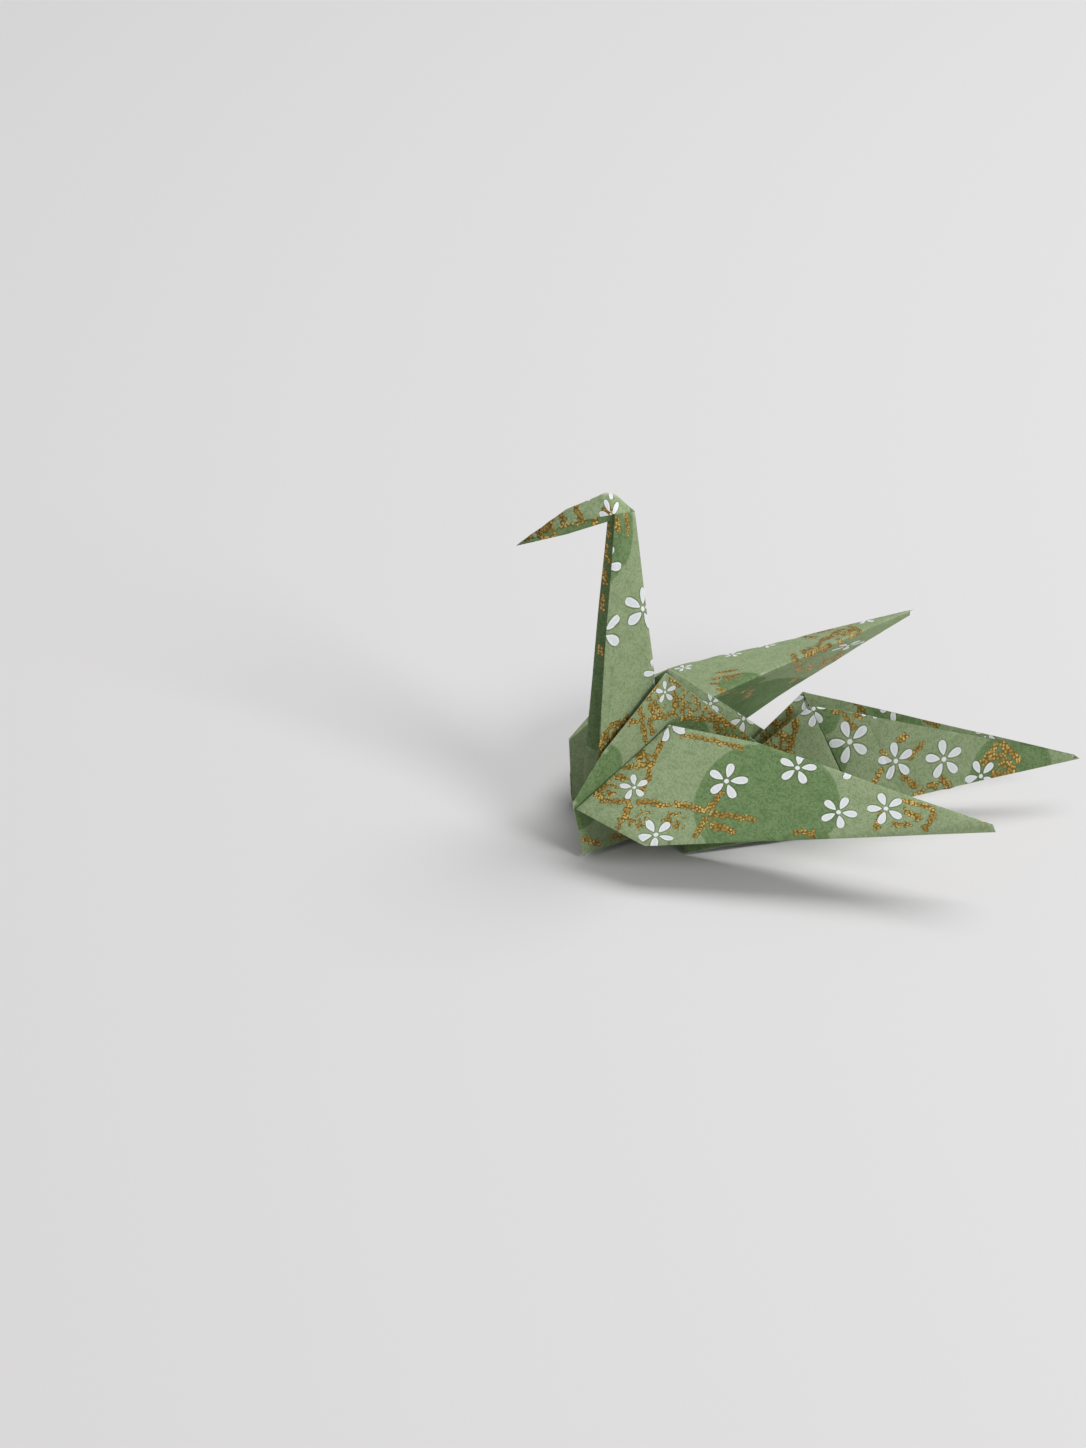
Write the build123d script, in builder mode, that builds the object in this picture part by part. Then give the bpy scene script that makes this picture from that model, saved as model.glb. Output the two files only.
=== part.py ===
from build123d import *
import math
import os

# Origami crane folded from one square of patterned washi paper, in millimetres. The head points to -X, the
# tail to +X, the near wing to -Y and the far wing to +Y. In the sizes, "back" is a distance along +X from the
# hump's peak, "out" is a distance from the middle plane and "height" is above the table. The finished part's
# origin is on the table, at the middle of its length and width.

# The sheet: thickness of one layer, and how far a crease's fold reaches past its line
paper_thickness = 0.13
crease_lip = 0.25

# Layers of paper that lie on each other in each leaf
body_layers = 2
neck_layers = 4
head_layers = 3
wing_layers = 3
tail_layers = 3

# Body: the hump's peak, the front corners, the start of the wing crease, and the feet. The far half is folded a
# little narrower than the near one
hump_height = 26.9
front_corner_back = -15.0
front_corner_out = 9.6
front_corner_height = 9.2
wing_root_drop = 9.5
wing_root_out = 1.5
hump_bow_back = -10.4
hump_bow_out = 6.7
hump_bow_height = 17.0
far_corner_back = -14.0
far_corner_out = 8.8
far_corner_height = 10.4
far_hump_bow_back = -10.2
far_hump_bow_out = 6.3
far_hump_bow_height = 15.6
far_foot_back = -13.7
far_foot_out = 7.8
far_foot_height = 0.5
side_foot_out = 3.0
side_foot_height = 0.9
neck_keel_back = -1.0
tail_keel_back = 1.6
keel_height = 0.5
rear_foot_back = 30.0
rear_foot_out = 6.0
rear_foot_height = 1.2

# Neck and head. The head's heights are rises above the nape, and the beak is a drop below it
nape_back = -5.4
nape_height = 53.6
throat_back = -8.7
throat_out = 3.1
throat_rise = 1.4
neck_inset_back = 1.3
neck_inset_out = 2.9
far_neck_inset_out = 1.2
crown_back = -8.4
crown_rise = 2.9
forehead_back = -9.6
forehead_rise = 3.2
brow_back = -15.5
brow_rise = 1.1
brow_out = 1.8
brow_drop = 1.5
beak_back = -23.1
beak_drop = 4.5
chin_depth = 2.1
throat_chin_depth = 1.2
chin_inset = 0.5

# Wings: the tips, the shoulder and hem points along the lower front edge, the ridge's bow, and the rear
# leaf's hanging corner and tuck
near_tip_back = 45.6
near_tip_out = 29.5
near_tip_height = 12.6
near_shoulder_back = -5.6
near_shoulder_out = 18.1
near_shoulder_height = 6.5
near_bow_back = 13.1
near_bow_out = 8.6
near_bow_height = 17.9
near_hang_out = 10.3
near_hang_height = 0.35
near_tuck_back = 14.4
near_tuck_out = 14.0
near_tuck_height = 4.4
far_tip_back = 44.2
far_tip_out = 31.5
far_tip_height = 18.2
far_shoulder_back = -7.4
far_shoulder_out = 19.9
far_shoulder_height = 14.0
far_bow_back = 17.0
far_bow_out = 13.0
far_bow_height = 18.1
far_hang_out = 12.5
far_hang_height = 1.0
far_tuck_back = 22.0
far_tuck_out = 22.0
far_tuck_height = 9.8
hang_back = 1.7
hem_share = 0.22

# Tail
tail_peak_back = 21.5
tail_peak_out = 2.2
tail_peak_height = 20.3
tail_tip_back = 64.9
tail_tip_height = 7.3
tail_root_back = 30.5
tail_root_height = 0.5

# Creases of the flat bird base with its middle line as Y, as shares of the sheet's side. Each front leg is
# narrowed along a line 11.25 degrees from the middle line.
narrowed = math.tan(math.radians(11.25))
flat_centre = math.sqrt(0.5)
flat_wing_root = 0.642
flat_leg_fold = 0.53
flat_corner = flat_centre / (1 + narrowed)


def on_leaf(origin, side, tip, across, rise):
    """The point of a leaf given by its shares of the side and tip edges that leave the origin."""
    return origin + (side - origin) * across + (tip - origin) * rise


def leaf(layers, *corners):
    """A flat leaf of paper, layers of paper thick, whose corners reach a lip past the crease points."""
    first, second, third = corners[:3]
    sheet_plane = Plane(origin=first, x_dir=second - first, z_dir=(second - first).cross(third - first))
    outline = [sheet_plane.to_local_coords(corner) for corner in corners]
    middle = sum(outline, Vector()) / len(outline)
    lipped = [corner + (corner - middle).normalized() * crease_lip for corner in outline]
    with BuildSketch(sheet_plane) as shape:
        with BuildLine():
            Polyline(*[(corner.X, corner.Y) for corner in lipped], close=True)
        make_face()
    extrude(shape.sketch, amount=layers * paper_thickness / 2, both=True)


def near(back, out, height):
    """A point on the near half of the crane."""
    return Vector(back, -out, height)


def far(back, out, height):
    """A point on the far half of the crane."""
    return Vector(back, out, height)


def mirrored(point):
    """The same point on the other half of the crane."""
    return Vector(point.X, -point.Y, point.Z)


# Points of the folded body
peak = Vector(0, 0, hump_height)
hump_bow = near(hump_bow_back, hump_bow_out, hump_bow_height)
front_corner = near(front_corner_back, front_corner_out, front_corner_height)
far_hump_bow = far(far_hump_bow_back, far_hump_bow_out, far_hump_bow_height)
far_corner = far(far_corner_back, far_corner_out, far_corner_height)
far_foot = far(far_foot_back, far_foot_out, far_foot_height)
wing_root = near(0, wing_root_out, hump_height - wing_root_drop)
side_foot = near(0, side_foot_out, side_foot_height)
rear_foot = near(rear_foot_back, rear_foot_out, rear_foot_height)
neck_keel = Vector(neck_keel_back, 0, keel_height)
tail_keel = Vector(tail_keel_back, 0, keel_height)

# The near front foot is where the narrowed edge meets the fold that turns the leg up, on its panel's plane
foot_across = flat_leg_fold / flat_corner
foot_rise = (flat_centre - flat_leg_fold - foot_across * (flat_centre - flat_corner)) / (flat_centre - flat_wing_root)
front_foot = on_leaf(peak, front_corner, wing_root, foot_across, foot_rise)

# Neck and head
neck_foot = front_foot + Vector(neck_inset_back, neck_inset_out, 0)
far_neck_foot = far_foot + Vector(neck_inset_back, -far_neck_inset_out, 0)
nape = Vector(nape_back, 0, nape_height)
throat = near(throat_back, throat_out, nape_height + throat_rise)
crown = Vector(crown_back, 0, nape_height + crown_rise)
forehead = Vector(forehead_back, 0, nape_height + forehead_rise)
brow = Vector(brow_back, 0, nape_height + brow_rise)
cheek = near(brow_back, brow_out, nape_height + brow_rise - brow_drop)
beak = Vector(beak_back, 0, nape_height - beak_drop)

# Tail
tail_peak = near(tail_peak_back, tail_peak_out, tail_peak_height)
tail_tip = Vector(tail_tip_back, 0, tail_tip_height)
tail_root = Vector(tail_root_back, 0, tail_root_height)


def body_half(bow, corner, foot, side, rear):
    """A side panel, with the crease below the peak, and the inner trough panels that meet at the keels."""
    leaf(body_layers, peak, bow, side)
    leaf(body_layers, bow, corner, side)
    leaf(body_layers, corner, foot, side)
    leaf(body_layers, peak, side, rear)
    leaf(body_layers, peak, bow, neck_keel)
    leaf(body_layers, bow, corner, neck_keel)
    leaf(body_layers, corner, foot, neck_keel)
    leaf(body_layers, peak, rear, tail_keel)


def neck_half(foot, leaf_foot, edge_top):
    """One leaf of the neck: a V that is closed along the nape and open at the front."""
    leaf(neck_layers, neck_keel, leaf_foot, edge_top)
    leaf(neck_layers, neck_keel, edge_top, nape)
    leaf(body_layers, neck_keel, foot, leaf_foot)


def head_half():
    """The head's upper leaf, a roof over the neck, and the narrower leaf that shows below it."""
    leaf(head_layers, nape, throat, crown)
    leaf(head_layers, crown, throat, forehead)
    leaf(head_layers, throat, cheek, brow, forehead)
    leaf(head_layers, cheek, beak, brow)
    inner_throat = throat + Vector(0, chin_inset, 0)
    inner_cheek = cheek + Vector(0, chin_inset, 0)
    chin = inner_cheek - Vector(0, 0, chin_depth)
    throat_chin = inner_throat - Vector(0, 0, throat_chin_depth)
    leaf(head_layers, inner_throat, inner_cheek, chin, throat_chin)
    leaf(head_layers, inner_cheek, beak, chin)


def wing(root, corner, heel, shoulder, bow, hang, tuck, tip):
    """A wing creased along its ridge: the front leaf with a soft valley, the rear leaf and its gusset."""
    hem = shoulder + (tip - shoulder) * hem_share
    leaf(wing_layers, root, corner, shoulder)
    leaf(wing_layers, root, shoulder, hem)
    leaf(wing_layers, root, hem, bow)
    leaf(wing_layers, bow, hem, tip)
    leaf(wing_layers, root, hang, tuck)
    leaf(wing_layers, root, tuck, bow)
    leaf(wing_layers, bow, tuck, tip)
    leaf(wing_layers, root, hang, heel)


def tail_half():
    """The rising panel that steps up out of the body, and one leaf of the tail, closed along its keel."""
    leaf(tail_layers, tail_peak, rear_foot, tail_keel)
    leaf(tail_layers, tail_peak, tail_tip, tail_root)


# The whole sheet as one solid, about the middle plane
with BuildPart() as crane:
    head_half()
    tail_half()
    mirror(about=Plane.XZ)
    body_half(hump_bow, front_corner, front_foot, side_foot, rear_foot)
    body_half(far_hump_bow, far_corner, far_foot, mirrored(side_foot), mirrored(rear_foot))
    neck_half(front_foot, neck_foot, throat)
    neck_half(far_foot, far_neck_foot, mirrored(throat))
    wing(
        root=wing_root,
        corner=front_corner,
        heel=rear_foot,
        shoulder=near(near_shoulder_back, near_shoulder_out, near_shoulder_height),
        bow=near(near_bow_back, near_bow_out, near_bow_height),
        hang=near(hang_back, near_hang_out, near_hang_height),
        tuck=near(near_tuck_back, near_tuck_out, near_tuck_height),
        tip=near(near_tip_back, near_tip_out, near_tip_height),
    )
    wing(
        root=mirrored(wing_root),
        corner=far_corner,
        heel=mirrored(rear_foot),
        shoulder=far(far_shoulder_back, far_shoulder_out, far_shoulder_height),
        bow=far(far_bow_back, far_bow_out, far_bow_height),
        hang=far(hang_back, far_hang_out, far_hang_height),
        tuck=far(far_tuck_back, far_tuck_out, far_tuck_height),
        tip=far(far_tip_back, far_tip_out, far_tip_height),
    )

# The crane set down on the table
bounds = crane.part.bounding_box()
table_middle = Vector(bounds.center().X, bounds.center().Y, bounds.min.Z)
with BuildPart() as folded_sheet:
    add(crane.part.moved(Location(-table_middle)))

os.makedirs("parts", exist_ok=True)
folded_sheet.part.label = "folded_sheet"
export_step(folded_sheet.part, "parts/folded_sheet.step")
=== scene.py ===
import math

import bmesh
import bpy
from mathutils import Matrix, Vector, noise


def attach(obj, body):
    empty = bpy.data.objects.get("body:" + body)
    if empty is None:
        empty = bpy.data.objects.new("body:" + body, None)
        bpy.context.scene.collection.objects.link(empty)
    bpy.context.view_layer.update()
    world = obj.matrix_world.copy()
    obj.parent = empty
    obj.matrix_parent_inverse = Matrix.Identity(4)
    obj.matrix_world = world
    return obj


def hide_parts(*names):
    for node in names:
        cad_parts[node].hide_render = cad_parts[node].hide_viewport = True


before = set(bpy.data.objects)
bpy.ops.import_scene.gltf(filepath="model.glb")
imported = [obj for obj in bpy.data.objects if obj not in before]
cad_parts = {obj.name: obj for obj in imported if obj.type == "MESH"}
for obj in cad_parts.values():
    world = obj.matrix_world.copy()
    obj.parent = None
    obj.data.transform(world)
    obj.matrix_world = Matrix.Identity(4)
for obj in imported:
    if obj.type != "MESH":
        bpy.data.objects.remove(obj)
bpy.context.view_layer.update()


# Body: the middle of one uncut square of washi paper, 150 mm wide, held by its folds alone. Each half is a side
# panel that folds back over the hump's two edges into the troughs, where the neck and the tail stand. Behind,
# the sheet steps up again to the tail's peak.
MM = 0.001
BODY_LAYERS = 2

# Crease points are in millimetres: back from the hump's peak, out from the middle plane (the near half is
# negative), and height. TABLE_MIDDLE is the part's origin, the middle of its box on the table.
TABLE_MIDDLE = (20.85, 1.0, 0.04)
body_points = {
    "near_peak": (-0.3, -0.45, 26.5),
    "near_hump_bow": (-10.4, -6.7, 17.0),
    "near_corner": (-15.6, -9.5, 9.7),
    "near_front_foot": (-13.9, -10.0, 0.8),
    "near_side_foot": (0, -3.0, 0.9),
    "near_rear_foot": (30.0, -6.0, 1.2),
    "near_tail_peak": (21.7, -2.2, 20.5),
    "far_peak": (0.2, 0.25, 26.9),
    "far_hump_bow": (-10.2, 6.3, 15.6),
    "far_corner": (-14.0, 8.8, 10.4),
    "far_front_foot": (-13.7, 7.8, 0.5),
    "far_side_foot": (0, 3.0, 0.9),
    "far_rear_foot": (30.0, 6.0, 1.2),
    "far_tail_peak": (21.3, 2.2, 20.5),
    "neck_keel": (-1.0, 0, 0.5),
    "tail_keel": (1.6, 0, 0.5),
}


class Wire:
    """A socket that takes arithmetic: each operator adds its Math node."""

    def __init__(self, paint, socket):
        self.paint = paint
        self.socket = socket

    def math(self, operation, *others):
        return self.paint.node("ShaderNodeMath", {"operation": operation}, (self, *others))

    def __add__(self, other):
        return self.math("ADD", other)

    def __sub__(self, other):
        return self.math("SUBTRACT", other)

    def __mul__(self, other):
        return self.math("MULTIPLY", other)

    def __rsub__(self, other):
        return self.paint.node("ShaderNodeMath", {"operation": "SUBTRACT"}, (other, self))

    __radd__ = __add__
    __rmul__ = __mul__

    def clamped(self):
        """The same value, kept from 0 to 1."""
        return self.paint.node("ShaderNodeMath", {"operation": "ADD", "use_clamp": True}, (self, 0.0))

    def ramp(self, low, high):
        """0 at low and 1 at high, with soft ends."""
        settings = {"interpolation_type": "SMOOTHSTEP"}
        values = {"Value": self, "From Min": low, "From Max": high}
        return self.paint.node("ShaderNodeMapRange", settings, values)

    def beside(self, output):
        """Another output of the same node."""
        return Wire(self.paint, self.socket.node.outputs[output])


class Paint:
    """A material, and the one method that adds nodes to it."""

    def __init__(self, name):
        self.material = bpy.data.materials.new(name)
        self.material.use_nodes = True
        self.tree = self.material.node_tree
        self.shader = self.tree.nodes["Principled BSDF"]

    def feed(self, socket, value):
        if isinstance(value, Wire):
            self.tree.links.new(value.socket, socket)
        else:
            socket.default_value = value

    def node(self, kind, settings, values, output=0):
        made = self.tree.nodes.new(kind)
        for key, value in settings.items():
            setattr(made, key, value)
        pairs = values.items() if isinstance(values, dict) else enumerate(values)
        for key, value in pairs:
            self.feed(made.inputs[key], value)
        return Wire(self, made.outputs[output])

    def mix(self, factor, first, second):
        """A colour mix. A Mix node's sockets share their names, so they are given by number."""
        return self.node("ShaderNodeMix", {"data_type": "RGBA"}, {0: factor, 6: first, 7: second}, output=2)

    def vector(self, operation, *vectors, output="Vector"):
        return self.node("ShaderNodeVectorMath", {"operation": operation}, vectors, output)


# The print's ground: sage green, with darker round clouds, under the mottling of the fibres. The print is
# laid out on the flat sheet in millimetres, so it turns with the folds as a real print does.
LIGHT_GREEN = (0.330, 0.405, 0.235, 1)
LIGHT_GREEN_DEEP = (0.205, 0.285, 0.135, 1)
DARK_GREEN = (0.185, 0.280, 0.120, 1)
DARK_GREEN_DEEP = (0.100, 0.175, 0.060, 1)
FLECK_GREEN = (0.120, 0.175, 0.075, 1)
SLOW_SHARE = 0.2
MOTTLE_SHARE = 0.4
GRAIN_SHARE = 0.4
TONE_RANGE = (0.38, 0.62)
CLOUD_RAGGED = 0.9
CLOUD_EDGE = (-0.10, 0.10)
FLECK_RANGE = (0.62, 0.72)
FLECK_DEPTH = 0.35


def fibre(sheet, scale, detail, offset):
    """The paper's fibres as noise on the flat sheet, from 0 to 1."""
    moved = sheet.paint.vector("ADD", sheet, (offset, offset, 0))
    settings = {"noise_dimensions": "2D"}
    values = {"Vector": moved, "Scale": scale, "Detail": detail}
    return sheet.paint.node("ShaderNodeTexNoise", settings, values)


def sage_ground(sheet, slow, mottle, grain, clouds):
    """The colour of the ground, with its clouds, whose edges the fibres make uneven, and its dark flecks."""
    paint = sheet.paint
    tone = (slow * SLOW_SHARE + mottle * MOTTLE_SHARE + grain * GRAIN_SHARE).ramp(*TONE_RANGE)
    ground = paint.mix(tone, LIGHT_GREEN_DEEP, LIGHT_GREEN)
    deepest = None
    for across, along, radius in clouds:
        depth = radius - paint.vector("DISTANCE", sheet, (across, along, 0), output="Value")
        deepest = depth if deepest is None else deepest.math("MAXIMUM", depth)
    cloud = (deepest + (mottle - 0.5) * CLOUD_RAGGED).ramp(*CLOUD_EDGE)
    ground = paint.mix(cloud, ground, paint.mix(tone, DARK_GREEN_DEEP, DARK_GREEN))
    return paint.mix(mottle.ramp(*FLECK_RANGE) * FLECK_DEPTH, ground, FLECK_GREEN)


# The print's gold: metallic ink in dots of half a millimetre, packed into strokes and strewn in round
# clusters. It is brown where it lies thin, and a painted glint lights it in bright flecks.
GOLD = (0.400, 0.265, 0.060, 1)
GOLD_PAINTED_GLINT = (0.850, 0.580, 0.160, 1)
GOLD_BROWN = (0.185, 0.118, 0.028, 1)
DOTS_PER_MM = 2.0
DOT_SCATTER = 0.75
DOT_RIM = (1.02, 0.88)
RIM_GRAIN = 0.3
DOT_SHADE = (0.70, 0.10)
SHADE_SHARE = 0.6
SHADE_GRAIN = 0.4
GOLD_TONE = (0.25, 0.70)
DOT_GLINT = (0.45, 0.25)
GLINT_GRAIN = 0.8
GLINT_RANGE = (0.90, 1.06)
STROKE_HALF = 0.56
STROKE_EDGE = 0.05
STROKE_UNEVEN = 0.12
CLUSTER_RADIUS = 1.9
CLUSTER_SHARE = 0.55


def gold_dots(sheet, slow, grain, strokes, clusters):
    """Where the gold lies, from 0 to 1, and its colour. The sheet is parted into cells of the size of one
    dot, and a cell is filled where its middle lies on a stroke or, by chance, in a cluster."""
    paint = sheet.paint
    cell_values = {"Vector": sheet, "Scale": DOTS_PER_MM, "Randomness": DOT_SCATTER}
    from_dot = paint.node("ShaderNodeTexVoronoi", {"voronoi_dimensions": "2D"}, cell_values)
    middle = from_dot.beside("Position")
    chance = paint.node("ShaderNodeSeparateColor", {}, (from_dot.beside("Color"),))
    off_stroke = None
    for first_across, first_along, last_across, last_along in strokes:
        run = Vector((last_across - first_across, last_along - first_along, 0))
        seen = paint.vector("SUBTRACT", middle, (first_across, first_along, 0))
        down = paint.vector("DOT_PRODUCT", seen, tuple(run / run.length_squared), output="Value")
        nearest_values = {0: tuple(run), "Scale": down.clamped()}
        nearest = paint.node("ShaderNodeVectorMath", {"operation": "SCALE"}, nearest_values)
        off = paint.vector("DISTANCE", seen, nearest, output="Value")
        off_stroke = off if off_stroke is None else off_stroke.math("MINIMUM", off)
    uneven = off_stroke + chance * STROKE_UNEVEN
    gilded = uneven.ramp(STROKE_HALF + STROKE_EDGE, STROKE_HALF - STROKE_EDGE)
    for across, along in clusters:
        off = paint.vector("DISTANCE", middle, (across, along, 0), output="Value")
        strewn = off.math("LESS_THAN", CLUSTER_RADIUS) * chance.math("LESS_THAN", CLUSTER_SHARE)
        gilded = gilded.math("MAXIMUM", strewn)
    gold = gilded * (from_dot + grain * RIM_GRAIN).ramp(*DOT_RIM)
    tone = (from_dot.ramp(*DOT_SHADE) * SHADE_SHARE + grain * SHADE_GRAIN).ramp(*GOLD_TONE)
    colour = paint.mix(tone, GOLD_BROWN, GOLD)
    # Painted highlight: bright flecks of glint, mixed into the gold's colour near the dots' middles, in random
    # patches.
    painted_glint = (slow + grain * GLINT_GRAIN).ramp(*GLINT_RANGE) * from_dot.ramp(*DOT_GLINT)
    return gold, paint.mix(painted_glint, colour, GOLD_PAINTED_GLINT)


# The print's blossoms: five white petals round a heart, with a thin dark outline. Their lengths are shares of
# the blossom's reach.
PETAL_WHITE = (0.820, 0.840, 0.840, 1)
PETAL_INNER = (0.720, 0.760, 0.780, 1)
PETAL_LINE = (0.070, 0.100, 0.045, 1)
PETALS = 5
PETAL_START = 0.19
PETAL_FULLNESS = 0.50
PETAL_ROOT_CURVE = 0.8
PETAL_END_CURVE = 0.42
PETAL_EDGE = (0.005, 0.035)
PETAL_SHADE = (0.06, 0.14)
LINE_EDGE = (-0.060, -0.035)
LINE_START = (-0.06, -0.02)
LINE_END = (1.05, 1.02)
LINE_DEPTH = 0.6
HEART_EDGE = (0.14, 0.11)


def nearest_blossom(sheet, blossoms):
    """The distance from the nearest blossom's middle, with its reach as 1, and the bearing, from the
    blossom's own turn."""
    paint = sheet.paint
    nearest = None
    for across, along, reach, degrees in blossoms:
        scaled = (1 / reach, 1 / reach, 0)
        seen = paint.vector("MULTIPLY_ADD", sheet, scaled, (-across / reach, -along / reach, 0))
        off = paint.vector("LENGTH", seen, output="Value")
        turn = math.radians(degrees)
        if nearest is None:
            nearest, nearest_off, nearest_turn = seen, off, turn
            continue
        closer = off.math("LESS_THAN", nearest_off)
        nearest_values = {0: closer, 4: nearest, 5: seen}
        nearest = paint.node("ShaderNodeMix", {"data_type": "VECTOR"}, nearest_values, output=1)
        nearest_turn = paint.node("ShaderNodeMix", {}, {0: closer, 2: nearest_turn, 3: turn})
        nearest_off = nearest_off.math("MINIMUM", off)
    seen_x = paint.node("ShaderNodeSeparateXYZ", {}, (nearest,))
    seen_y = seen_x.beside("Y")
    return nearest_off, seen_y.math("ARCTAN2", seen_x) - nearest_turn


def petal_places(off, bearing):
    """How deep inside a petal's edge a place is, and how far down the petal, with its end as 1."""
    petal_angle = math.tau / PETALS
    turned = bearing + (2 * math.tau + petal_angle / 2)
    in_petal = turned.math("MODULO", petal_angle) - petal_angle / 2
    down = (off * in_petal.math("COSINE") - PETAL_START) * (1 / (1 - PETAL_START))
    aside = (off * in_petal.math("SINE")).math("ABSOLUTE")
    inside = down.clamped()
    root_width = inside.math("POWER", PETAL_ROOT_CURVE)
    end_width = (1 - inside).math("POWER", PETAL_END_CURVE)
    return root_width * end_width * PETAL_FULLNESS - aside, down


# The printed paper as a whole: matt washi, with a little relief from its fibres and its gold. Its folds are
# painted paler in places, partly as rubbed wear and partly as a painted highlight along the crease.
FOLD_WEAR_AND_HIGHLIGHT = (0.480, 0.540, 0.390, 1)
PALE_FOLD_RANGE = (0.2, 1.0)
PALE_FOLD_PATCHES = (0.25, 0.55)
PALE_FOLD_DEPTH = 0.75
PAPER_ROUGHNESS = 0.74
PAPER_SPECULAR = 0.3
GOLD_SMOOTHER = 0.34
GOLD_METAL = 0.45
RELIEF_HEIGHT = 0.10
RELIEF_STRENGTH = 0.6
GRAIN_RELIEF = 0.5
MOTTLE_RELIEF = 0.9
GOLD_RELIEF = 0.5


def washi(name, blossoms, clouds, strokes, clusters):
    """Printed paper. blossoms: across, along, reach, turn in degrees. clouds: across, along, radius.
    strokes: the two ends of each. clusters: across, along. All in millimetres on the flat sheet."""
    paint = Paint(name)
    sheet = paint.node("ShaderNodeUVMap", {"uv_map": "sheet"}, ())
    slow = fibre(sheet, scale=0.55, detail=3, offset=3.0)
    mottle = fibre(sheet, scale=1.9, detail=4, offset=11.0)
    grain = fibre(sheet, scale=5.5, detail=2, offset=23.0)
    colour = sage_ground(sheet, slow, mottle, grain, clouds)
    gold, gold_colour = gold_dots(sheet, slow, grain, strokes, clusters)
    colour = paint.mix(gold, colour, gold_colour)
    off, bearing = nearest_blossom(sheet, blossoms)
    depth, down = petal_places(off, bearing)
    petal = depth.ramp(*PETAL_EDGE)
    petal_line = depth.ramp(*LINE_EDGE) * down.ramp(*LINE_START) * down.ramp(*LINE_END)
    heart = off.ramp(*HEART_EDGE)
    colour = paint.mix(petal_line * LINE_DEPTH, colour, PETAL_LINE)
    white = petal.math("MAXIMUM", heart)
    colour = paint.mix(white, colour, paint.mix(depth.ramp(*PETAL_SHADE), PETAL_WHITE, PETAL_INNER))
    fold = paint.node("ShaderNodeAttribute", {"attribute_name": "fold"}, (), output="Fac")
    # Partly wear, partly painted highlight: a pale line along the folds and edges, broken into patches.
    worn_and_highlit = fold.ramp(*PALE_FOLD_RANGE) * slow.ramp(*PALE_FOLD_PATCHES) * PALE_FOLD_DEPTH
    paint.feed(paint.shader.inputs["Base Color"], paint.mix(worn_and_highlit, colour, FOLD_WEAR_AND_HIGHLIGHT))
    bare = 1 - petal
    paint.feed(paint.shader.inputs["Metallic"], gold * bare * GOLD_METAL)
    paint.feed(paint.shader.inputs["Roughness"], PAPER_ROUGHNESS - gold * bare * GOLD_SMOOTHER)
    paint.shader.inputs["Specular IOR Level"].default_value = PAPER_SPECULAR
    height = grain * GRAIN_RELIEF + mottle * MOTTLE_RELIEF + gold * GOLD_RELIEF
    relief_values = {"Strength": RELIEF_STRENGTH, "Distance": RELIEF_HEIGHT * MM, "Height": height}
    relief = paint.node("ShaderNodeBump", {}, relief_values)
    paint.feed(paint.shader.inputs["Normal"], relief)
    return paint.material


# The cut edge of the sheet: fibres where the colour is thinner. It has no place on the flat sheet, so its
# mottling is laid out in the piece's own space.
EDGE_GREEN = (0.20, 0.27, 0.14, 1)
EDGE_PALE = (0.40, 0.46, 0.33, 1)
EDGE_SCALE = 900.0
EDGE_RANGE = (0.35, 0.65)
EDGE_ROUGHNESS = 0.85
edge_paint = Paint("cut_edge")
edge_place = edge_paint.node("ShaderNodeTexCoord", {}, (), output="Object")
edge_tone = edge_paint.node("ShaderNodeTexNoise", {}, {"Vector": edge_place, "Scale": EDGE_SCALE})
edge_colour = edge_paint.mix(edge_tone.ramp(*EDGE_RANGE), EDGE_GREEN, EDGE_PALE)
edge_paint.feed(edge_paint.shader.inputs["Base Color"], edge_colour)
edge_paint.shader.inputs["Roughness"].default_value = EDGE_ROUGHNESS
cut_edge = edge_paint.material

near_side_print = washi(
    "near_side_print",
    blossoms=[(-0.3, 102.9, 1.9, 20), (12.5, 87, 2.6, 10), (22, 81, 2.8, 30)],
    clouds=[(-12.6, 92.4, 3.3), (-16.2, 87.8, 4.0), (2.6, 94.0, 4.3), (10, 91.0, 4.2), (20, 78, 4)],
    strokes=[
        (-2.0, 104.3, -4.0, 102.2), (1.3, 102.4, 1.3, 99.1), (1.1, 98.8, -3.7, 98.6),
        (-5.7, 100.8, -5.0, 99.0), (2.6, 97.9, 7.1, 97.0), (-5.0, 97.9, -4.4, 95.0), (7.9, 96.4, 8.4, 93.8),
        (7.3, 97.8, 10.2, 95.4), (-8.2, 98.9, -6.0, 98.7), (-3.6, 101.0, -1.9, 100.4),
        (0.7, 104.9, 2.3, 103.7), (-3.4, 97.8, -3.0, 96.4), (-15.5, 82.0, -13.0, 80.6),
        (-10.5, 80.8, -6.5, 80.4), (15, 90, 18, 87), (17, 84, 18, 80), (26, 77, 28, 75.6),
    ],
    clusters=[(3.6, 101.5), (3.1, 99.6), (5.4, 99.3), (9.5, 93.8), (11.6, 93.0), (-1.9, 100.5)],
)
far_side_print = washi(
    "far_side_print",
    blossoms=[(-9.6, 86.2, 2.6, 20), (4, 96, 2.8, 20), (18, 84, 2.8, 30)],
    clouds=[(-3, 90.0, 6.0), (14, 90, 5)],
    strokes=[
        (-12.5, 84.5, -11.5, 81.5), (-8, 96, -4, 97), (2, 88, 6, 87), (9, 95, 11, 92), (20, 80, 24, 79),
    ],
    clusters=[(-5, 98), (8, 84)],
)
trough_print = washi(
    "trough_print",
    blossoms=[
        (6.9, 97.8, 2.2, 15), (12.7, 93.2, 2.6, 40), (-9, 86, 2.8, 0), (21, 86, 2.8, 10),
        (26.5, 77.5, 2.4, 30),
    ],
    clouds=[(-4, 88, 5.5), (15, 84, 4)],
    strokes=[(9, 90, 12, 88), (-6, 98, -3, 96), (-12, 90, -9, 92), (18, 82, 21, 80), (4, 84, 7, 83)],
    clusters=[(-8, 95), (10, 84)],
)
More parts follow.
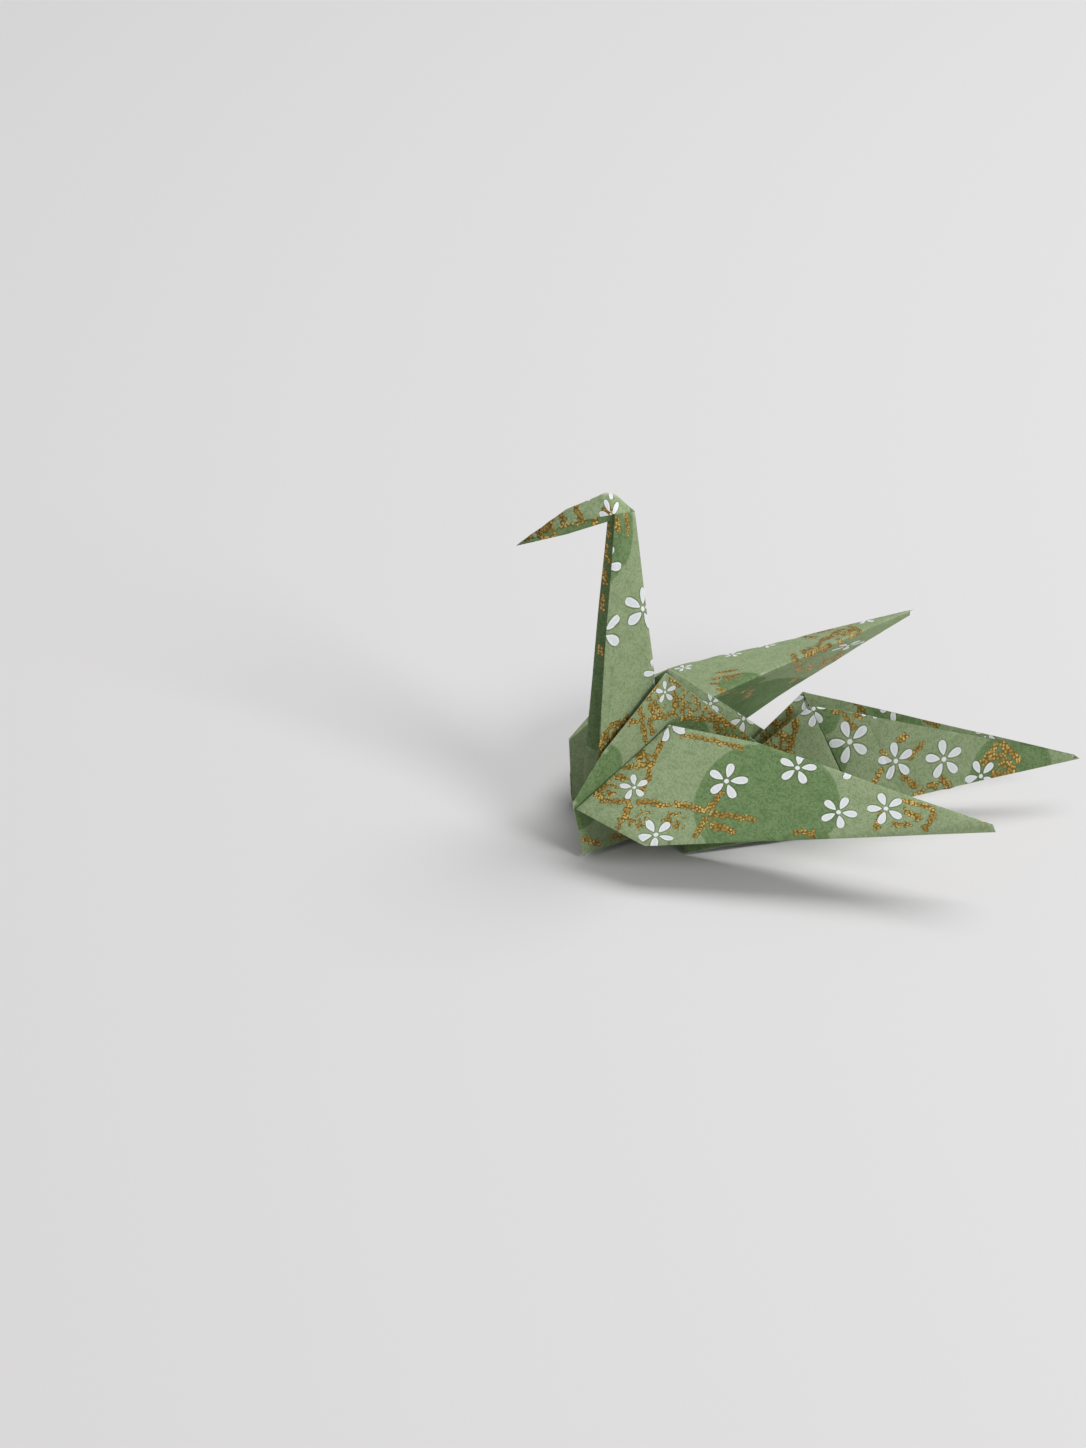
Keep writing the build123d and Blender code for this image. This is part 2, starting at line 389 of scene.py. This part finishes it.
rise_print = washi(
    "rise_print",
    blossoms=[(22.4, 19.6, 2.6, 40), (30, 14, 2.8, 10), (12, 6, 2.8, 10), (24.5, 3, 2.6, 30)],
    clouds=[(29, 4, 5), (8, 2, 4)],
    strokes=[
        (15.6, 12.6, 18.6, 12.9), (19.5, 18.0, 19.0, 14.0), (16.6, 15.6, 18.0, 14.6),
        (12.5, 9.0, 14.5, 9.4), (20, 8, 23, 7),
    ],
    clusters=[(16.5, 14.6)],
)

# Folding: every leaf is folded from its crease points, pressed flat, softened between its folds, and given
# the thickness of its layers. The vertex layer "fold" is 1 on a fold or an edge and 0 away from it.
LAYER = 0.13
FACET_MM = 1.6
FACET_ROUNDS = 5
FOLD_REACH = 0.12
FOLD_ROUND = 0.09
ON_FOLD = 0.9
BESIDE_FOLD = 0.3
OFF_FOLD = 0.01
HARD_FOLD = math.radians(20)
SHARP_SHADE = math.radians(50)
WAVER = 0.12
WAVER_PITCH = 70
WAVER_SEED = 5
noise.seed_set(WAVER_SEED)


def place(point):
    """A crease point in the frame's metres."""
    return (Vector(point) - Vector(TABLE_MIDDLE)) * MM


def waver(point):
    """Paper is never quite flat: the same slow waver moves every leaf, so that leaves keep meeting. Without
    its seed, it would differ from run to run."""
    return point + noise.noise_vector(point * WAVER_PITCH) * WAVER * MM


def lay_panels(maker, panels, points):
    """Lay each panel's faces between their crease points. Returns the faces by panel, and the materials."""
    sheet_map = maker.loops.layers.uv.new("sheet")
    fold = maker.verts.layers.float.new("fold")
    corners = {}
    regions = []
    papers = []
    for faces, flat, paper in panels:
        if paper not in papers:
            papers.append(paper)
        region = []
        for outline in faces:
            for key in outline:
                if key not in corners:
                    corners[key] = maker.verts.new(place(points[key]))
                    corners[key][fold] = 1
            face = maker.faces.new([corners[key] for key in outline])
            face.material_index = papers.index(paper)
            for loop, key in zip(face.loops, outline):
                loop[sheet_map].uv = flat[key]
            region.append(face)
        regions.append(region)
    return regions, papers


def press_flat(maker, regions):
    """Part each panel from its folds and edges, and cut all of it into small facets."""
    fold = maker.verts.layers.float["fold"]
    reach = FOLD_REACH * MM
    for region in regions:
        bmesh.ops.inset_region(
            maker, faces=region, thickness=reach, use_even_offset=True, use_boundary=True
        )
        for face in region:
            for vert in face.verts:
                vert[fold] = 0
    bmesh.ops.triangulate(maker, faces=maker.faces)
    for _ in range(FACET_ROUNDS):
        long_edges = [edge for edge in maker.edges if edge.calc_length() > FACET_MM * MM]
        bmesh.ops.subdivide_edges(maker, edges=long_edges, cuts=1)
        bmesh.ops.triangulate(maker, faces=maker.faces)


def soften(maker, softening):
    """Ease the paper between its folds into soft valleys."""
    fold = maker.verts.layers.float["fold"]
    inner = []
    for vert in maker.verts:
        beside_fold = any(edge.other_vert(vert)[fold] > BESIDE_FOLD for edge in vert.link_edges)
        if vert[fold] < OFF_FOLD and not beside_fold:
            inner.append(vert)
    for _ in range(softening):
        bmesh.ops.smooth_vert(
            maker, verts=inner, factor=0.5, use_axis_x=True, use_axis_y=True, use_axis_z=True
        )


def round_folds(maker):
    """Round the hard folds a little, as folded paper does."""
    fold = maker.verts.layers.float["fold"]
    folds = []
    for edge in maker.edges:
        on_fold = edge.verts[0][fold] > ON_FOLD and edge.verts[1][fold] > ON_FOLD
        if on_fold and len(edge.link_faces) == 2 and edge.calc_face_angle() > HARD_FOLD:
            folds.append(edge)
    bmesh.ops.bevel(
        maker,
        geom=folds,
        offset=FOLD_ROUND * MM,
        offset_type="OFFSET",
        segments=2,
        profile=0.5,
        affect="EDGES",
        clamp_overlap=True,
        material=-1,
    )


def fold_paper(name, panels, points, layers, softening=0):
    """A piece of the folded sheet, with layers of paper in it. panels lists the parts between hard folds:
    their faces, each a list of crease points, the points' places on the flat printed sheet in millimetres,
    and the printed paper. softening is how many times the paper between the folds is eased."""
    maker = bmesh.new()
    regions, papers = lay_panels(maker, panels, points)
    press_flat(maker, regions)
    soften(maker, softening)
    round_folds(maker)
    for vert in maker.verts:
        vert.co = waver(vert.co)
    bmesh.ops.recalc_face_normals(maker, faces=maker.faces)
    for face in maker.faces:
        face.smooth = True
    for edge in maker.edges:
        if len(edge.link_faces) == 2 and edge.calc_face_angle() > SHARP_SHADE:
            edge.smooth = False
    mesh = bpy.data.meshes.new(name)
    maker.to_mesh(mesh)
    maker.free()
    for paper in (*papers, cut_edge):
        mesh.materials.append(paper)
    piece = bpy.data.objects.new(name, mesh)
    bpy.context.scene.collection.objects.link(piece)
    wall = piece.modifiers.new("layers", "SOLIDIFY")
    wall.thickness = layers * LAYER * MM
    wall.offset = 0
    wall.use_even_offset = False
    wall.thickness_clamp = 1
    wall.material_offset_rim = len(papers)
    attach(piece, "root")
    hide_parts("folded_sheet")


for half in ("near", "far"):
    peak, bow, corner = half + "_peak", half + "_hump_bow", half + "_corner"
    front_foot, side_foot, rear_foot = half + "_front_foot", half + "_side_foot", half + "_rear_foot"
    tail_peak = half + "_tail_peak"
    side_flat = {
        peak: (0, 106.1),
        bow: (-12.8, 94.6),
        corner: (-17.6, 88.5),
        front_foot: (-15.8, 79.5),
        side_foot: (0, 79.5),
        rear_foot: (31.1, 75.0),
    }
    trough_flat = {**side_flat, "neck_keel": (0, 79.5), "tail_keel": (0, 79.5)}
    rise_flat = {tail_peak: (21.5, 20.3), rear_foot: (30.0, 1.2), "tail_keel": (1.6, 0.5)}
    side_faces = [
        (peak, bow, side_foot),
        (bow, corner, side_foot),
        (corner, front_foot, side_foot),
        (peak, side_foot, rear_foot),
    ]
    neck_trough_faces = [
        (peak, "neck_keel", bow),
        (bow, "neck_keel", corner),
        (corner, "neck_keel", front_foot),
    ]
    tail_trough_faces = [(peak, rear_foot, "tail_keel")]
    rise_faces = [(tail_peak, "tail_keel", rear_foot)]
    side_print = near_side_print if half == "near" else far_side_print
    body_panels = [
        (side_faces, side_flat, side_print),
        (neck_trough_faces, trough_flat, trough_print),
        (tail_trough_faces, trough_flat, trough_print),
        (rise_faces, rise_flat, rise_print),
    ]
    fold_paper(half + "_body", body_panels, body_points, BODY_LAYERS)


# Neck: the front leg of the folded sheet, narrowed and folded up between the body's halves. Its two leaves of
# paper meet along the nape and stand open in front.
NECK_LAYERS = 3
neck_points = {
    "neck_keel": (-1.0, 0, 0.5),
    "spine_bow": (-2.1, 0, 27.5),
    "nape": (-5.3, 0, 53.7),
    "near_front_foot": (-13.9, -10.0, 0.8),
    "near_neck_foot": (-12.2, -7.3, 0.5),
    "near_throat": (-8.7, -3.1, 55.0),
    "far_front_foot": (-13.7, 7.8, 0.5),
    "far_neck_foot": (-12.4, 6.6, 0.5),
    "far_throat": (-8.7, 3.1, 55.0),
}
near_neck_print = washi(
    "near_neck_print",
    blossoms=[
        (-1.2, 42.9, 3.6, 65), (-8.9, 45.2, 3.7, 42), (-8.1, 34.6, 3.3, 15), (0.6, 53.6, 2.4, 30),
        (-6, 70, 2.8, 10),
    ],
    clouds=[(-12.8, 27.2, 11.7), (-12, 66, 3.5), (0, 74, 5)],
    strokes=[
        (-2.7, 26.9, -2.8, 30.1), (-5.0, 27.8, -5.3, 29.6), (-9.1, 60.8, -5.4, 60.3),
        (-8.9, 63.5, -10.0, 61.3), (-10.1, 61.6, -11.1, 65.5), (-4, 66, -2, 64), (-8, 74, -5, 75),
    ],
    clusters=[(-7.0, 62.4)],
)
far_neck_print_and_painted_shade = washi(
    "far_neck_print_and_painted_shade",
    blossoms=[(-4, 58, 2.8, 40), (-2, 36, 2.8, 10), (-3, 70, 2.8, 0)],
    # Painted shade: this wide dark cloud covers nearly all of the far leaf, whose inner side lies in shade
    # inside the neck's V.
    clouds=[(-7, 48, 22)],
    strokes=[
        (-6.3, 31, -6.0, 33.2), (-6.8, 35, -6.4, 37.5), (-7.3, 39, -6.9, 41), (-7.6, 43.5, -7.8, 45.5),
        (-8.6, 52, -8.4, 53), (-3, 44, -1, 47), (-4, 50, -2, 52),
    ],
    clusters=[(-3, 62)],
)
neck_panels = []
for half in ("near", "far"):
    front_foot, neck_foot, throat = half + "_front_foot", half + "_neck_foot", half + "_throat"
    neck_flat = {
        "neck_keel": (0, 79.5),
        "spine_bow": (0, 52.6),
        "nape": (0, 27),
        throat: (-5.4, 27),
        neck_foot: (-13.6, 79.5),
        front_foot: (-16, 80),
    }
    leaf_faces = [
        ("neck_keel", neck_foot, throat),
        ("neck_keel", throat, "spine_bow"),
        ("spine_bow", throat, "nape"),
    ]
    foot_faces = [("neck_keel", front_foot, neck_foot)]
    neck_print = near_neck_print if half == "near" else far_neck_print_and_painted_shade
    neck_panels.append((leaf_faces, neck_flat, neck_print))
    neck_panels.append((foot_faces, neck_flat, neck_print))
fold_paper("neck", neck_panels, neck_points, NECK_LAYERS)


# Head: the tip of the neck, folded forwards and down over itself. Its upper leaves of paper make a roof that
# falls to the beak, and a narrower pair of leaves, the chin, shows below them. The print is laid out here as
# seen from the side.
HEAD_LAYERS = 2
head_points = {
    "nape": (-5.3, 0, 53.7),
    "crown": (-8.2, 0, 56.65),
    "forehead": (-9.7, 0, 57.05),
    "brow": (-15.5, 0, 54.7),
    "beak": (-23.1, 0, 49.1),
    "near_throat": (-8.7, -3.1, 55.0),
    "near_cheek": (-15.5, -1.8, 53.2),
    "near_inner_throat": (-8.7, -2.3, 54.8),
    "near_inner_cheek": (-15.5, -0.9, 53.0),
    "near_chin": (-15.5, -0.9, 51.0),
    "near_throat_chin": (-8.7, -2.3, 53.7),
    "far_throat": (-8.7, 3.1, 55.0),
    "far_cheek": (-15.5, 1.8, 53.2),
    "far_inner_throat": (-8.7, 2.3, 54.8),
    "far_inner_cheek": (-15.5, 0.9, 53.0),
    "far_chin": (-15.5, 0.9, 51.0),
    "far_throat_chin": (-8.7, 2.3, 53.7),
}
head_flat = {key: (point[0], point[2]) for key, point in head_points.items()}

# The head shows no cloud and the chin no blossom, so these two lie beside the paper
head_print = washi(
    "head_print",
    blossoms=[(-12.3, 57.6, 1.7, 55), (-9.0, 57.8, 1.5, 55), (-9.3, 54.8, 1.6, 40)],
    clouds=[(-4, 54, 1)],
    strokes=[
        (-16.4, 54.0, -16.1, 52.4), (-18.9, 52.6, -17.6, 53.1), (-20.0, 51.3, -18.0, 52.1),
        (-21.7, 50.3, -20.9, 50.6), (-14.0, 55.0, -13.6, 54.0), (-10.3, 54.9, -9.2, 55.2),
    ],
    clusters=[(-19.5, 51.2)],
)
chin_print = washi(
    "chin_print",
    blossoms=[(-30, 50, 1.0, 0)],
    # One wide dark cloud covers the whole chin, so it shows darker than the roof above it.
    clouds=[(-12, 52, 9)],
    strokes=[
        (-17.6, 52.3, -14.9, 52.8), (-13.9, 53.2, -12.9, 53.5), (-11.8, 53.6, -11.4, 52.8),
        (-19.2, 50.3, -17.5, 50.9),
    ],
    clusters=[],
)
head_panels = []
chin_panels = []
for half in ("near", "far"):
    throat, cheek = half + "_throat", half + "_cheek"
    inner_throat, inner_cheek = half + "_inner_throat", half + "_inner_cheek"
    chin, throat_chin = half + "_chin", half + "_throat_chin"
    roof_faces = [
        ("nape", throat, "crown"),
        ("crown", throat, "forehead"),
        ("forehead", throat, cheek, "brow"),
        ("brow", cheek, "beak"),
    ]
    chin_faces = [
        (inner_throat, throat_chin, chin, inner_cheek),
        (inner_cheek, chin, "beak"),
    ]
    head_panels.append((roof_faces, head_flat, head_print))
    chin_panels.append((chin_faces, head_flat, chin_print))
fold_paper("head", head_panels, head_points, HEAD_LAYERS)
fold_paper("chin", chin_panels, head_points, HEAD_LAYERS)


# Tail: the rear leg of the folded sheet, folded up but not narrowed. Its two leaves of paper meet along the
# keel below and stand open above.
TAIL_LAYERS = 2
tail_points = {
    "near_peak": (21.7, -2.2, 20.5),
    "far_peak": (21.3, 2.2, 20.5),
    "near_end": (64.0, -0.05, 7.9),
    "far_end": (64.0, 0.05, 7.9),
    "end": (64.9, 0, 7.2),
    "root": (30.5, 0, 0.5),
}
near_tail_print = washi(
    "tail_print",
    blossoms=[
        (-16.7, 41.4, 2.5, 50), (-10.5, 36.4, 3.3, 25), (-5.9, 29.4, 2.9, 34), (-4.5, 21.8, 3.0, 35),
        (-0.6, 16.2, 2.6, 18), (-14.9, 32.2, 2.0, 60), (-5.6, 41.8, 2.9, 20),
    ],
    clouds=[(0.4, 11.4, 6.8), (-8.3, 40.5, 3.4), (-15.5, 40.5, 3.2)],
    strokes=[
        (-14.5, 36.7, -12.4, 35.5), (-15.7, 38.1, -15.5, 37.3), (-14.3, 35.0, -14.0, 34.5),
        (-9.4, 27.4, -8.8, 28.6), (-7.5, 25.1, -6.0, 27.2), (-7.7, 31.4, -6.1, 30.5),
        (-3.9, 28.7, -1.5, 26.8), (-4.9, 32.1, -2.5, 33.7), (-2.3, 22.9, -0.3, 21.6),
        (-1.0, 24.7, -0.9, 23.7), (-0.1, 26.7, -0.3, 25.6), (-4.7, 13.4, -2.6, 15.7),
        (-4.8, 12.4, -1.9, 10.0), (-3.2, 15.2, -2.7, 12.3), (-1.6, 12.9, -1.6, 11.4),
        (0.3, 12.4, -0.6, 10.8), (-0.6, 13.9, -0.3, 13.3),
    ],
    clusters=[],
)
far_tail_print = washi(
    "far_tail_print",
    blossoms=[
        (-9, 33, 2.8, 35), (-3.5, 17, 2.8, 10), (-12.8, 28.3, 2.2, 10), (-6.2, 14.2, 2.0, 40),
        (-5, 26, 2.8, 50),
    ],
    clouds=[(-8, 30, 6), (-1, 8, 3)],
    strokes=[
        (-14.5, 34, -12.5, 33), (-9.8, 23.4, -8.9, 22), (-4, 24, -2, 22), (-2, 14, -1.5, 12),
        (-8, 38, -6, 36),
    ],
    clusters=[(-4, 30)],
)
tail_panels = []
for half in ("near", "far"):
    peak, end = half + "_peak", half + "_end"
    tail_flat = {peak: (-17.3, 41.9), end: (-0.4, 0.9), "end": (0, 0), "root": (0, 36)}
    tail_faces = [(peak, "root", "end", end)]
    tail_print = near_tail_print if half == "near" else far_tail_print
    tail_panels.append((tail_faces, tail_flat, tail_print))
fold_paper("tail", tail_panels, tail_points, TAIL_LAYERS)


# Wings: the two other legs of the folded sheet, each creased along its ridge. The front leaf of paper falls
# forwards from it in soft valleys, the rear leaf is tucked under, and a gusset runs back from the wing's root
# to the body.
WING_LAYERS = 2
WING_SOFTENING = 4
near_wing_points = {
    "root": (0.1, -2.1, 18.3),
    "corner": (-15.1, -10.1, 9.0),
    "shoulder": (-5.6, -18.1, 6.5),
    "hem": (5.7, -20.6, 7.85),
    "ridge_bow": (13.1, -8.6, 17.9),
    "hang": (1.7, -10.3, 0.35),
    "tuck": (14.4, -14.0, 4.4),
    "ridge_end": (45.1, -29.0, 13.3),
    "tip": (45.5, -29.3, 12.15),
    "tip_rear": (44.6, -28.7, 12.3),
    "heel": (30.0, -6.0, 1.2),
}
far_wing_points = {
    "root": (0, 2.0, 17.2),
    "corner": (-14.1, 9.2, 10.3),
    "shoulder": (-6.4, 19.5, 12.6),
    "hem": (4.0, 22.5, 14.9),
    "ridge_bow": (17.0, 13.0, 18.1),
    "hang": (1.7, 12.5, 1.0),
    "tuck": (22.0, 22.0, 9.8),
    "ridge_end": (43.4, 30.9, 18.3),
    "tip": (44.2, 31.6, 18.2),
    "tip_rear": (43.4, 31.1, 17.5),
    "heel": (30.0, 6.0, 1.2),
}
wing_flat = {
    "root": (0, 96.3),
    "corner": (-17.6, 88.5),
    "shoulder": (-20.2, 101.3),
    "hem": (-15.8, 112.0),
    "hang": (18.9, 104.3),
    "ridge_end": (0.1, 148.2),
    "tip": (-0.2, 150),
    "tip_rear": (0.6, 148.3),
    "heel": (31.1, 75.0),
}
near_wing_flat = {**wing_flat, "ridge_bow": (2.2, 111.4), "tuck": (15.5, 117.0)}
far_wing_flat = {**wing_flat, "ridge_bow": (0, 117.7), "tuck": (16.0, 108.0)}
near_wing_print = washi(
    "near_wing_print",
    blossoms=[
        (-18.0, 102.2, 2.85, 22), (-11.5, 95.6, 2.2, 45), (-5.8, 108.8, 3.1, 66), (-0.1, 118.1, 2.9, 67),
        (0.2, 96.2, 3.1, 25), (-5.3, 126.4, 2.75, 7), (-2.4, 132.7, 2.75, 35), (3.3, 125.6, 2.9, 40),
    ],
    clouds=[(-7.7, 115.9, 10.9)],
    strokes=[
        (-0.8, 99.2, -0.2, 103.0), (0.1, 104.0, 0.4, 108.9), (-2.7, 96.4, -6.7, 96.7),
        (-6.1, 93.2, -6.0, 95.2), (-8.7, 92.2, -7.6, 96.2), (-10.3, 91.6, -10.5, 93.4),
        (-12.9, 90.1, -14.4, 90.9), (-15.1, 91.7, -14.2, 95.5), (-13.6, 97.5, -12.7, 101.8),
        (-8.2, 96.8, -12.1, 97.1), (-14.8, 96.4, -18.9, 96.1), (-12.0, 102.9, -11.6, 107.6),
        (-7.8, 108.6, -10.8, 108.1), (-12.6, 108.3, -16.5, 107.9), (-11.6, 109.0, -10.5, 115.0),
        (-13.4, 109.7, -13.5, 113.1), (-10.5, 121.9, -9.9, 124.3), (-0.3, 134.7, 0.0, 139.1),
        (-1.9, 135.6, -2.4, 137.9), (-0.9, 139.3, -3.4, 139.7), (-4.5, 134.8, -3.9, 136.9),
        (-3.8, 132.2, -6.0, 132.7), (0.7, 146.4, 0.8, 149.1),
    ],
    clusters=[(-16.4, 98.7), (-15.1, 104.0), (-13.0, 91.5), (-6.3, 94.0)],
)
near_under_print = washi(
    "near_under_print",
    blossoms=[(3.4, 125.4, 3.0, 40), (10.5, 112, 2.9, 25), (8, 102, 2.8, 0), (6, 90, 2.8, 30)],
    clouds=[(15.5, 109, 10), (12, 100, 5)],
    strokes=[(12, 117, 9, 118.5), (6, 108, 9, 107), (2, 130, 3, 134), (14, 108, 16, 105), (12, 88, 16, 86)],
    clusters=[(10, 98)],
)
far_wing_print = washi(
    "far_wing_print",
    blossoms=[
        (4.3, 131.3, 2.6, 20), (-13.7, 112.6, 1.5, 10), (-11.2, 120.7, 1.4, 50), (-9.6, 126.5, 1.4, 30),
        (-3.3, 142, 1.7, 0), (-14, 100, 2.8, 15), (10, 98, 2.8, 40), (-17, 107, 1.5, 0),
    ],
    clouds=[(-0.5, 113.2, 3.8), (9.0, 107.5, 8.0), (-16, 97, 4)],
    strokes=[
        (-6.7, 113.8, -5.1, 116.2), (-5.4, 111.8, -3.7, 114.3), (-3.4, 112.9, -3.3, 115.3),
        (-4.4, 110.0, -3.3, 110.7), (-2.2, 109.7, 0.1, 108.7), (-2.4, 125.6, 1.5, 123.7),
        (-2.0, 127.5, 0.0, 126.6), (-1.8, 128.8, 0.4, 127.8), (-1.6, 130.1, -0.1, 129.4),
        (-2.9, 132.2, -3.5, 136.8), (-6.2, 134.0, -5.7, 136.7), (-7.5, 132.1, -5.0, 132.3),
        (-2.2, 130.8, -2.8, 135.0), (1.8, 123.3, 6.5, 119.1), (1.9, 124.9, 1.6, 126.5),
        (-0.4, 133.8, 3.9, 130.9), (-3.6, 138.7, 0.1, 137.6), (1.2, 128.9, 0.0, 131.5),
        (9.1, 118.1, 6.4, 122.2), (10.3, 120.0, 6.4, 125.2), (10.3, 123.1, 5.8, 128.3),
        (11.6, 113.0, 9.8, 116.1), (4.8, 108.3, 4.6, 110.0), (9.0, 105.4, 6.0, 109.4),
        (3.4, 106.8, 3.2, 108.7),
    ],
    clusters=[(-1.5, 136.2), (-8, 104)],
)
front_leaf = [
    ("root", "corner", "shoulder"),
    ("root", "shoulder", "hem"),
    ("root", "hem", "ridge_bow"),
    ("ridge_bow", "hem", "tip", "ridge_end"),
]
rear_leaf = [
    ("root", "ridge_bow", "tuck"),
    ("ridge_bow", "ridge_end", "tip_rear", "tuck"),
    ("root", "tuck", "hang"),
]
gusset = [("root", "hang", "heel")]
near_wing_panels = [
    (front_leaf, near_wing_flat, near_wing_print),
    (rear_leaf, near_wing_flat, near_under_print),
    (gusset, near_wing_flat, near_under_print),
]
far_wing_panels = [(faces, far_wing_flat, far_wing_print) for faces in (front_leaf, rear_leaf, gusset)]
fold_paper("near_wing", near_wing_panels, near_wing_points, WING_LAYERS, WING_SOFTENING)
fold_paper("far_wing", far_wing_panels, far_wing_points, WING_LAYERS, WING_SOFTENING)


# Floor: the table top that the crane stands on, which isn't part of it. It is plain, pale and matt, and
# reaches past the view on all sides.
FLOOR_SIZE = 6.0
FLOOR_GREY = (0.70, 0.69, 0.695, 1)
FLOOR_ROUGHNESS = 0.9
floor_paint = Paint("table_top")
floor_paint.shader.inputs["Base Color"].default_value = FLOOR_GREY
floor_paint.shader.inputs["Roughness"].default_value = FLOOR_ROUGHNESS
floor_maker = bmesh.new()
bmesh.ops.create_grid(floor_maker, x_segments=1, y_segments=1, size=FLOOR_SIZE / 2)
floor_mesh = bpy.data.meshes.new("floor")
floor_maker.to_mesh(floor_mesh)
floor_maker.free()
floor_mesh.materials.append(floor_paint.material)
floor = bpy.data.objects.new("floor", floor_mesh)
bpy.context.scene.collection.objects.link(floor)


# Camera: where the photograph was taken from, on the near side, AZIMUTH towards the head and ELEVATION up.
# Its place and its long lens give the photograph's perspective and framing.
AZIMUTH = math.radians(6.3)
ELEVATION = math.radians(28.9)
CAMERA_DISTANCE = 0.7018
CAMERA_LEFT = 0.0189
CAMERA_UP = 0.01515
LENS = 150.3
SENSOR_WIDTH = 36
level = math.cos(ELEVATION)
forward = Vector((math.sin(AZIMUTH) * level, math.cos(AZIMUTH) * level, -math.sin(ELEVATION)))
right = Vector((math.cos(AZIMUTH), -math.sin(AZIMUTH), 0))
upward = right.cross(forward)
camera_data = bpy.data.cameras.new("camera")
camera_data.lens = LENS
camera_data.sensor_fit = "HORIZONTAL"
camera_data.sensor_width = SENSOR_WIDTH
camera = bpy.data.objects.new("camera", camera_data)
camera.location = place((0, 0, 0)) - forward * CAMERA_DISTANCE - right * CAMERA_LEFT + upward * CAMERA_UP
camera.rotation_euler = Matrix((right, upward, -forward)).transposed().to_euler()
bpy.context.scene.collection.objects.link(camera)
bpy.context.scene.camera = camera


# Light: a large soft window lamp above on the right, behind the crane, a smaller lamp on the right in front,
# and an even pale room all round.
LAMP_AIM = Vector((0, 0, 0.02))
ROOM_WHITE = (1.0, 1.0, 1.0, 1)
ROOM_STRENGTH = 0.26


def lamp(name, where, size, power):
    """A round soft lamp, turned to the crane."""
    data = bpy.data.lights.new(name, "AREA")
    data.shape = "DISK"
    data.size = size
    data.energy = power
    made = bpy.data.objects.new(name, data)
    made.location = where
    made.rotation_euler = (LAMP_AIM - Vector(where)).to_track_quat("-Z", "Y").to_euler()
    bpy.context.scene.collection.objects.link(made)


lamp("window", where=(0.40, 0.34, 1.20), size=0.9, power=12.0)
lamp("room_lamp", where=(0.85, -1.05, 0.80), size=0.6, power=12.0)
room = bpy.data.worlds.new("room")
room.use_nodes = True
room.node_tree.nodes["Background"].inputs["Color"].default_value = ROOM_WHITE
room.node_tree.nodes["Background"].inputs["Strength"].default_value = ROOM_STRENGTH
bpy.context.scene.world = room
bpy.context.scene.view_settings.view_transform = "Standard"
